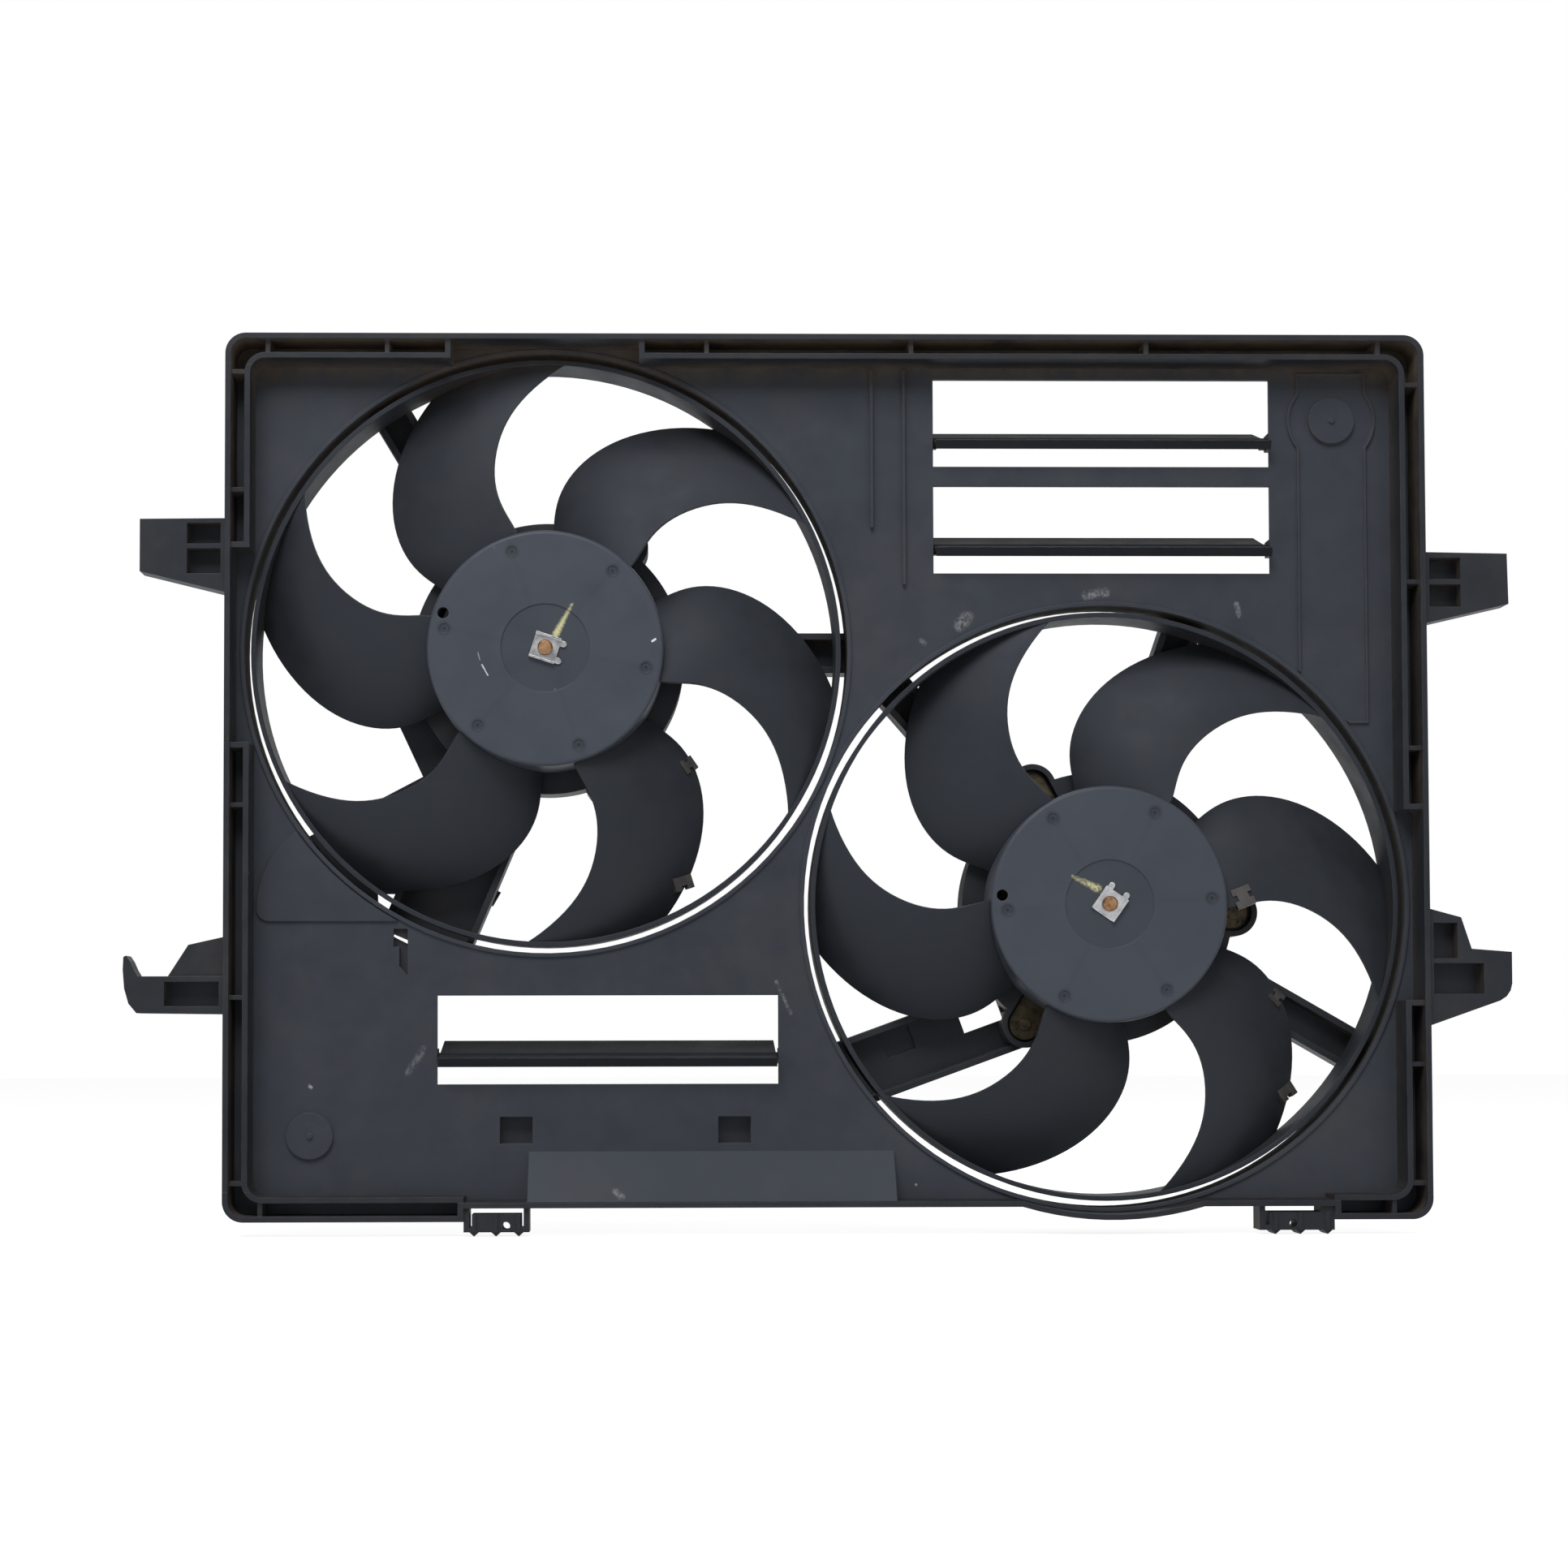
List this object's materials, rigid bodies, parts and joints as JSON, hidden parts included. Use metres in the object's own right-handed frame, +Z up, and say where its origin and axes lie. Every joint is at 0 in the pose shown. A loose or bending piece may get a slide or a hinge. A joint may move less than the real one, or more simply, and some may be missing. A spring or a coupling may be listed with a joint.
{
  "type": "radiator cooling fan module",
  "caption": "Twin electric radiator fan module: flat moulded shroud with two banded fans on flat motors, ram air flaps, side tabs and bottom clips.",
  "frame": {"origin": "middle of the shroud's front sealing plane, where it meets the radiator", "axes": "+X to the right and +Z up, seen from the radiator side; +Y from the radiator towards the engine"},
  "size_m": [0.7394, 0.091, 0.4808],
  "materials": {
    "shroud_plastic": "moulded satin, dusty",
    "fan_plastic": "moulded satin",
    "flap_plastic": "moulded satin",
    "black_plastic": "moulded",
    "card_plastic": "moulded",
    "spring_steel": "dull, rusty",
    "zinc_steel": "bright zinc",
    "shaft_steel": "ground, tinted",
    "core_steel": "stamped",
    "can_steel": "dark coated",
    "yellow_zinc": "yellow passivated",
    "copper": "enamelled",
    "ferrite": "sintered",
    "carbon": "pressed",
    "bronze": "sintered",
    "module_aluminium": "die cast",
    "board_green": "solder mask"
  },
  "bodies": {
    "shroud_and_motors": {"shroud_panel": "shroud_plastic", "rim_top": "shroud_plastic", "rim_bottom": "shroud_plastic", "rim_left": "shroud_plastic", "rim_right": "shroud_plastic", "left_barrel": "shroud_plastic", "right_barrel": "shroud_plastic", "upper_flap_bearings": "shroud_plastic", "middle_flap_bearings": "shroud_plastic", "lower_flap_bearings": "shroud_plastic", "left_motor_carrier": "shroud_plastic", "left_motor_arms": "shroud_plastic", "left_motor_can": "can_steel", "left_motor_flange": "yellow_zinc", "left_motor_screws": "yellow_zinc", "left_motor_magnets": "ferrite", "left_motor_end_cap": "black_plastic", "left_brush_card": "card_plastic", "left_brushes": "carbon", "left_front_bearing": "bronze", "left_rear_bearing": "bronze", "right_motor_carrier": "shroud_plastic", "right_motor_arms": "shroud_plastic", "right_motor_can": "can_steel", "right_motor_flange": "yellow_zinc", "right_motor_screws": "yellow_zinc", "right_motor_magnets": "ferrite", "right_motor_end_cap": "black_plastic", "right_brush_card": "card_plastic", "right_brushes": "carbon", "right_front_bearing": "bronze", "right_rear_bearing": "bronze", "control_module_housing": "black_plastic", "control_module_cover": "module_aluminium", "control_module_board": "board_green", "control_module_screws": "zinc_steel"},
    "left_rotor": {"left_fan_hub": "fan_plastic", "left_fan_blades": "fan_plastic", "left_fan_ring": "fan_plastic", "left_balance_clips": "spring_steel", "left_fan_clip": "zinc_steel", "left_motor_shaft": "shaft_steel", "left_armature_core": "core_steel", "left_armature_windings": "copper", "left_commutator": "copper"},
    "right_rotor": {"right_fan_hub": "fan_plastic", "right_fan_blades": "fan_plastic", "right_fan_ring": "fan_plastic", "right_balance_clips": "spring_steel", "right_fan_clip": "zinc_steel", "right_motor_shaft": "shaft_steel", "right_armature_core": "core_steel", "right_armature_windings": "copper", "right_commutator": "copper"},
    "upper_flap_body": {"upper_flap": "flap_plastic"},
    "middle_flap_body": {"middle_flap": "flap_plastic"},
    "lower_flap_body": {"lower_flap": "flap_plastic"}
  },
  "joints": [
    {"name": "left_fan_spin", "type": "hinge", "parent": "shroud_and_motors", "child": "left_rotor", "pos_m": [-0.1505, 0.03, 0.0686], "axis": [0, 1, 0], "continuous": true},
    {"name": "right_fan_spin", "type": "hinge", "parent": "shroud_and_motors", "child": "right_rotor", "pos_m": [0.1505, 0.03, -0.0686], "axis": [0, 1, 0], "continuous": true},
    {"name": "upper_flap_swing", "type": "hinge", "parent": "shroud_and_motors", "child": "upper_flap_body", "pos_m": [0.1505, 0.0249, 0.1848], "axis": [1, 0, 0], "range_deg": [0, 70]},
    {"name": "middle_flap_swing", "type": "hinge", "parent": "shroud_and_motors", "child": "middle_flap_body", "pos_m": [0.1505, 0.0249, 0.1266], "axis": [1, 0, 0], "range_deg": [0, 70]},
    {"name": "lower_flap_swing", "type": "hinge", "parent": "shroud_and_motors", "child": "lower_flap_body", "pos_m": [-0.1175, 0.0249, -0.1492], "axis": [1, 0, 0], "range_deg": [0, 76]}
  ]
}
